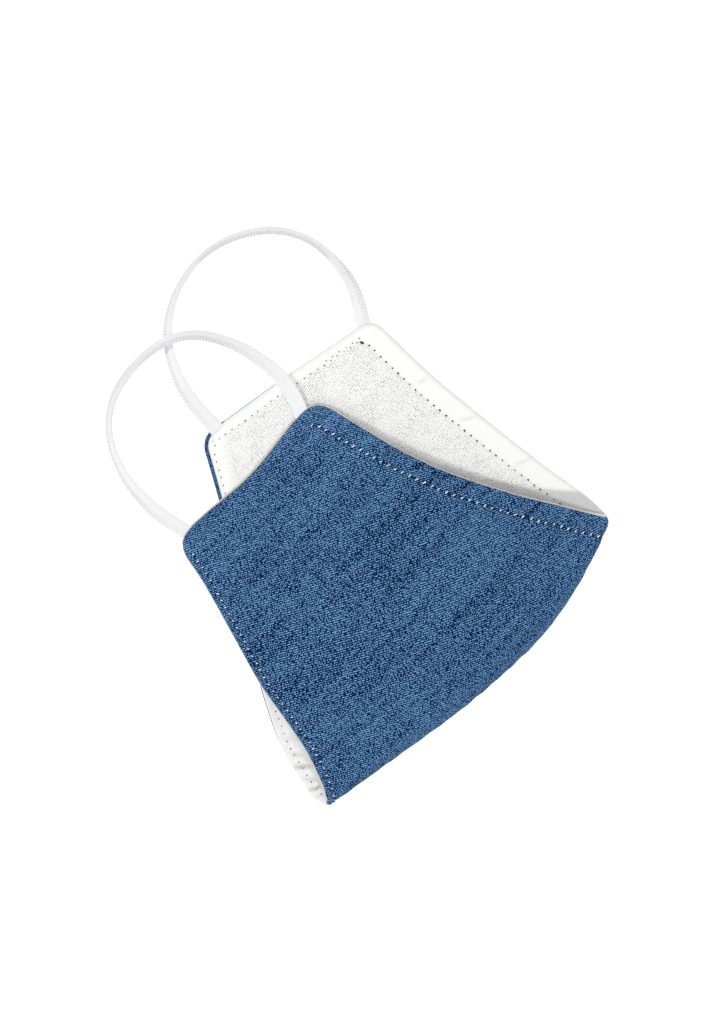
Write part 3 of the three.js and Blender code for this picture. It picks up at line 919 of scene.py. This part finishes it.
# The elastic band, and how far its ends are sewn in
LOOP_WIDTH = 5.7
LOOP_THICK = 0.84
LEAST_THICK = 0.06
SEWN_IN = 4.5
RIB_PITCH = 0.8
RIB_RISE = 0.035
CORD_RISE = 0.1
RUNG_PITCH = 1.12
RUNG_DEPTH = 0.2
RUNG_NOTCH = 0.22

# Points across the band's face, and steps along it to a rung
BAND_POINTS = 15
RUNG_STEPS = 5

# Routes of the loops, as the part lays them: shares back from the ear edge, up it and of the height, and
# the band's tilt in degrees. Then, as shares along the band: the side that its ladder of rungs shows on,
# how strong the ladder is, and how much painted shading darkens the band.
RIGHT_LOOP = {
    "half": RIGHT,
    "reach": 56.6,
    "height": 8.0,
    "back": (
        0.009, 0.131, 0.283, 0.479, 0.655, 0.846, 0.959, 1,
        0.966, 0.873, 0.714, 0.495, 0.281, 0.131, 0.004,
    ),
    "up": (
        0.903, 0.938, 0.957, 0.941, 0.901, 0.812, 0.683, 0.497,
        0.323, 0.199, 0.106, 0.048, 0.038, 0.051, 0.073,
    ),
    "rise": (
        0.475, 0.525, 0.6, 0.713, 0.838, 0.963, 1, 0.75,
        0.5, 0.375, 0.362, 0.338, 0.362, 0.425, 0.475,
    ),
    "tilt": (0, 4, 10, 25, 38, 45, 48, 52, 56, 60, 55, 42, 20, 5, 0),
    "rungs": ((0, 0.08, 0.16, 0.44, 0.56, 1), (0.6, 0.8, 1, 1, -1, -1)),
    "strength": ((0, 0.1, 0.2, 0.3, 0.84, 0.94, 1), (0.05, 0.1, 0.4, 1, 1, 0.25, 0.15)),
    "shade": ((0, 0.25, 0.42, 0.5, 0.62, 0.8, 1), (0, 0, 0.2, 0.5, 0.45, 0.25, 0.1)),
}
LEFT_LOOP = {
    "half": LEFT,
    "reach": 55.6,
    "height": 2.95,
    "back": (
        0.011, 0.126, 0.297, 0.523, 0.721, 0.887, 0.989,
        0.999, 0.921, 0.796, 0.649, 0.441, 0.224, 0.008,
    ),
    "up": (
        0.954, 1.001, 1.054, 1.073, 1.045, 0.955, 0.797,
        0.617, 0.447, 0.313, 0.216, 0.136, 0.093, 0.083,
    ),
    "rise": (
        0.39, 0.322, 0.712, 0.932, 0.966, 0.949, 0.966,
        1, 1, 0.932, 0.881, 0.78, 0.441, 0.39,
    ),
    "tilt": (0, 6, 30, 50, 55, 52, 56, 62, 62, 54, 48, 36, 12, 0),
    "rungs": ((0, 0.14, 0.24, 0.5, 0.6, 1), (-1, -1, 1, 1, -1, -1)),
    "strength": ((0, 0.06, 0.16, 0.84, 0.94, 1), (0.4, 0.6, 1, 1, 0.3, 0.15)),
    "shade": ((0, 0.25, 0.42, 0.5, 0.62, 0.8, 1), (0, 0, 0.2, 0.5, 0.45, 0.25, 0.1)),
}


def loop_route(loop):
    """A loop's chosen points with a stretch sewn in at both ends, and the band's tilt at each."""
    chin = loop["half"]["chin_corner"]
    nose = loop["half"]["nose_corner"]
    edge = np.array([chin + (nose - chin) * u for u in loop["up"]])
    back = edge[:, 0] - loop["reach"] * np.array(loop["back"])
    route = np.stack([back, edge[:, 1], loop["height"] * np.array(loop["rise"])], -1)
    first = route[0] + (route[0] - route[1]) * (SEWN_IN / np.linalg.norm(route[0] - route[1]))
    last = route[-1] + (route[-1] - route[-2]) * (SEWN_IN / np.linalg.norm(route[-1] - route[-2]))
    return np.concatenate([[first], route, [last]]), np.concatenate([[0.0], loop["tilt"], [0.0]])


def band_ways(centre, lean):
    """The ways across the band and through it, at each place along it."""
    forward = np.gradient(centre, axis=0)
    forward /= np.linalg.norm(forward, axis=1, keepdims=True)
    inner = np.cross((0, 0, 1), forward)
    inner /= np.linalg.norm(inner, axis=1, keepdims=True)
    across = inner * np.cos(lean) + np.cross(forward, inner) * np.sin(lean)
    return across, np.cross(forward, across)


def ringed(top, low):
    """Values over the band's top and back along its underside."""
    return np.concatenate([top, low[:, -2:0:-1]], 1)


def band_section(at, loop):
    """The band's width flat and with its notches, its half thickness, and how open its ladder is."""
    share = at / at[-1]
    ladder_side = np.interp(share, *loop["rungs"])[:, None]
    strength = np.interp(share, *loop["strength"])[:, None]
    between = (0.5 - 0.5 * np.cos(2 * np.pi * at / RUNG_PITCH))[:, None]
    wide = LOOP_WIDTH / 2 * np.sin(np.linspace(-np.pi / 2, np.pi / 2, BAND_POINTS))[None, :]
    w = wide / (LOOP_WIDTH / 2)
    gaps = between * np.clip((w * ladder_side - 0.02) / 0.2, 0, 1) * strength
    edge_cord = bump(w * ladder_side + 0.72, 0.2)
    ribs = RIB_RISE * np.cos(2 * np.pi * wide / RIB_PITCH) * (np.abs(w) < 0.97)
    thick = LOOP_THICK / 2 * np.sqrt(np.maximum(1 - np.abs(w) ** 6, 0)) + CORD_RISE * edge_cord + ribs
    thick = np.maximum(thick - RUNG_DEPTH * gaps, LEAST_THICK * (np.abs(w) < 0.99))
    notched = wide - RUNG_NOTCH * gaps * np.sign(w) * (np.abs(w) > 0.9)
    return np.broadcast_to(wide, gaps.shape), notched, thick, gaps


def ear_loop(name, loop):
    """A flat knitted band swept along its route, with a ladder of rungs along one edge."""
    route, tilt = loop_route(loop)
    knots = np.concatenate([[0], np.cumsum(np.linalg.norm(np.diff(route, axis=0), axis=1))])
    at = np.linspace(0, knots[-1], int(knots[-1] / (RUNG_PITCH / RUNG_STEPS)) + 1)
    centre = np.stack([smooth(knots, route[:, k], at) for k in range(3)], -1)
    across, through = band_ways(centre, np.radians(smooth(knots, tilt, at))[:, None])
    wide, notched, thick, gaps = band_section(at, loop)
    middle = centre[:, None] + across[:, None] * notched[..., None]
    off = through[:, None] * thick[..., None]
    rings = ringed(middle + off, middle - off)
    grid = np.arange(rings.shape[0] * rings.shape[1]).reshape(rings.shape[:2])
    closed = np.concatenate([grid, grid[:, :1]], 1)
    corners = closed[:-1, :-1], closed[:-1, 1:], closed[1:, 1:], closed[1:, :-1]
    faces = [*np.stack(corners, -1).reshape(-1, 4), grid[0][::-1], grid[-1]]
    made = mesh_object(name, rings.reshape(-1, 3), faces, ELASTIC)
    # Painted shading along the band, as shares of its length
    painted_dimming = np.interp(at / at[-1], *loop["shade"])
    keep_values(made.data, {
        "gap": ringed(gaps, gaps).ravel(),
        "shade": np.repeat(painted_dimming, rings.shape[1]),
    })
    along = np.repeat(at, rings.shape[1])
    lay_weave(made.data, np.stack([along, ringed(wide, wide).ravel()], -1))
    return made, (centre + ORIGIN) * MM


# Camera: straight above the middle of the mask, turned so that the seam runs up to the right
CAMERA_PLACE = (-0.01175, 0.01303, 1.0517)
CAMERA_TURN = 44.19
lens = bpy.data.cameras.new("overhead")
lens.lens = 100
lens.sensor_width = 36
camera = bpy.data.objects.new("overhead", lens)
camera.location = CAMERA_PLACE
camera.rotation_euler = (0, 0, math.radians(CAMERA_TURN))
bpy.context.scene.collection.objects.link(camera)
bpy.context.scene.camera = camera

# The two loops
for name, loop in (("ear_loop_right", RIGHT_LOOP), ("ear_loop_left", LEFT_LOOP)):
    band, line = ear_loop(name + "_elastic", loop)
    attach(band, "root")
    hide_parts(name)

# The four plies: the node, its half and ply, its cloth, the step of its grid, its size laid flat in
# metres, its area in square metres, and its slot
PLIES = (
    ("outer_right", RIGHT, "outer", CHAMBRAY, 0.68, (0.128, 0.152), 0.0141, "chambray"),
    ("lining_right", RIGHT, "lining", MUSLIN, 1.0, (0.127, 0.151), 0.0137, "muslin"),
    ("outer_left", LEFT, "outer", CHAMBRAY, 1.0, (0.150, 0.156), 0.0165, "chambray"),
    ("lining_left", LEFT, "lining", MUSLIN, 0.68, (0.149, 0.155), 0.0162, "muslin"),
)

# The stitches that are copied along the rows
PATTERNS = {
    "cream": one_stitch("cream_stitch", 1.5, 0.47, 0.5, CREAM_THREAD),
    "short": one_stitch("short_stitch", 0.8, 0.46, 0.36, CREAM_THREAD),
    "blue": one_stitch("blue_stitch", 0.8, 0.62, 0.36, BLUE_THREAD),
    "small": one_stitch("small_stitch", 0.62, 0.46, 0.3, BLUE_THREAD),
    "knot": one_stitch("knot_stitch", 1.35, 1.15, 0.5, BLUE_THREAD),
    # The needle holes in near-black thread: painted shadow in small pits
    "pit": needle_hole("needle_hole", 0.42, PAINTED_HOLE_SHADOW),
}

# The rows that each ply shows: the edge, how far in from it, the stitch, and its lean in degrees
OUTER_ROWS = (
    ("nose", NOSE_HEM, "cream", 58),
    ("ear", EAR_HEM, "blue", 20),
    ("chin", CHIN_HEM, "short", 40),
)
LINING_ROWS = (
    ("nose", NOSE_HEM, "blue", -20),
    ("ear", EAR_HEM, "small", -20),
    ("chin", CHIN_HEM, "small", -20),
)

# The short row beside the seam by the nose tip: how far in it runs, and its pitch
SEAM_ROW = 1.6
SEAM_PITCH = 1.7

# Needle holes, drawn near black as painted shadow: how far behind its stitch each one is, and its lean
# in degrees
HOLE_BACK = 0.85
HOLE_LEAN = 30

# The double row at the end of the lower lining's ear row: its stitches, and its shift along and aside
BACK_STITCHES = 6
BACK_ALONG = 1.5
BACK_ASIDE = 0.9


def unit_rows(vectors):
    """Each vector at length one."""
    return vectors / np.linalg.norm(vectors, axis=1, keepdims=True)


def back_stitches(nose_row, ear_row):
    """The double row and the knot where the lower lining's nose and ear rows meet."""
    places, normals, headings = (values[-BACK_STITCHES:] for values in ear_row[1:4])
    along = unit_rows(headings)
    places = places + BACK_ALONG * along + BACK_ASIDE * np.cross(normals, along)
    corner = [values[-1:] for values in nose_row[1:4]]
    return [(PATTERNS["small"], places, normals, headings, ear_row[4]), (PATTERNS["knot"], *corner, 0)]


def hem_rows(node, ply, shown):
    """The rows of stitches and the rows of needle holes that a ply shows."""
    stitches, holes = [], []
    for edge, hem, kind, lean in OUTER_ROWS if ply == "outer" else LINING_ROWS:
        places, normals, headings = spaced(stitch_line(shown, edge, hem), STITCH_PITCH)
        stitches.append((PATTERNS[kind], places, normals, headings, lean))
        if ply == "outer" and edge != "ear":
            back = places - HOLE_BACK * unit_rows(headings)
            holes.append((PATTERNS["pit"], back, normals, headings, HOLE_LEAN))
    if node == "outer_right":
        seam_row = spaced(stitch_line(shown, "seam", SEAM_ROW), SEAM_PITCH)
        stitches.append((PATTERNS["short"], *seam_row, 0))
    if node == "lining_left":
        stitches += back_stitches(stitches[0], stitches[1])
    return stitches, holes


for node, half, ply, finish, pitch, flat, area, slot in PLIES:
    cloth, shown = panel(node + "_cloth", half, ply, finish, pitch)
    stitches, holes = hem_rows(node, ply, shown)
    seams = [sewn(node + "_stitches", stitches, 3)]
    if holes:
        seams.append(sewn(node + "_painted_hole_shadows", holes, 5))
    for piece in [cloth, *seams]:
        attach(piece, "root")
    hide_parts(node)
for pattern in PATTERNS.values():
    bpy.data.objects.remove(pattern)

# Pale paper under the mask, just clear of it
FLOOR_SIZE = 6
FLOOR_DROP = 0.0002
bpy.ops.object.select_all(action="DESELECT")
bpy.ops.mesh.primitive_plane_add(size=FLOOR_SIZE, location=(0, 0, -FLOOR_DROP))
floor = bpy.context.object
floor.name = "floor"
paper = bpy.data.materials.new("pale_paper")
paper.use_nodes = True
shader = paper.node_tree.nodes["Principled BSDF"]
shader.inputs["Base Color"].default_value = (0.9, 0.9, 0.9, 1)
shader.inputs["Roughness"].default_value = 0.9
shader.inputs["Specular IOR Level"].default_value = 0.1
shader.inputs["Emission Color"].default_value = (1, 1, 1, 1)
shader.inputs["Emission Strength"].default_value = 0.55
floor.data.materials.append(paper)

# Round lamps aimed at the mask: the name, place, size and power of each
AIM = Vector((0, 0, 0.01))
LIGHTS = (
    ("key", (-0.63, -0.80, 1.3), 0.16, 7.6),
    ("overhead_softbox", (0.25, 0.1, 1.6), 1.3, 8.7),
)
for name, place, size, power in LIGHTS:
    lamp = bpy.data.lights.new(name, "AREA")
    lamp.shape = "DISK"
    lamp.size = size
    lamp.energy = power
    made = bpy.data.objects.new(name, lamp)
    made.location = place
    made.rotation_euler = (AIM - Vector(place)).to_track_quat("-Z", "Y").to_euler()
    bpy.context.scene.collection.objects.link(made)

world = bpy.data.worlds.new("studio")
world.use_nodes = True
world.node_tree.nodes["Background"].inputs["Color"].default_value = (1, 1, 1, 1)
world.node_tree.nodes["Background"].inputs["Strength"].default_value = 0.6
bpy.context.scene.world = world
bpy.context.scene.view_settings.view_transform = "Standard"
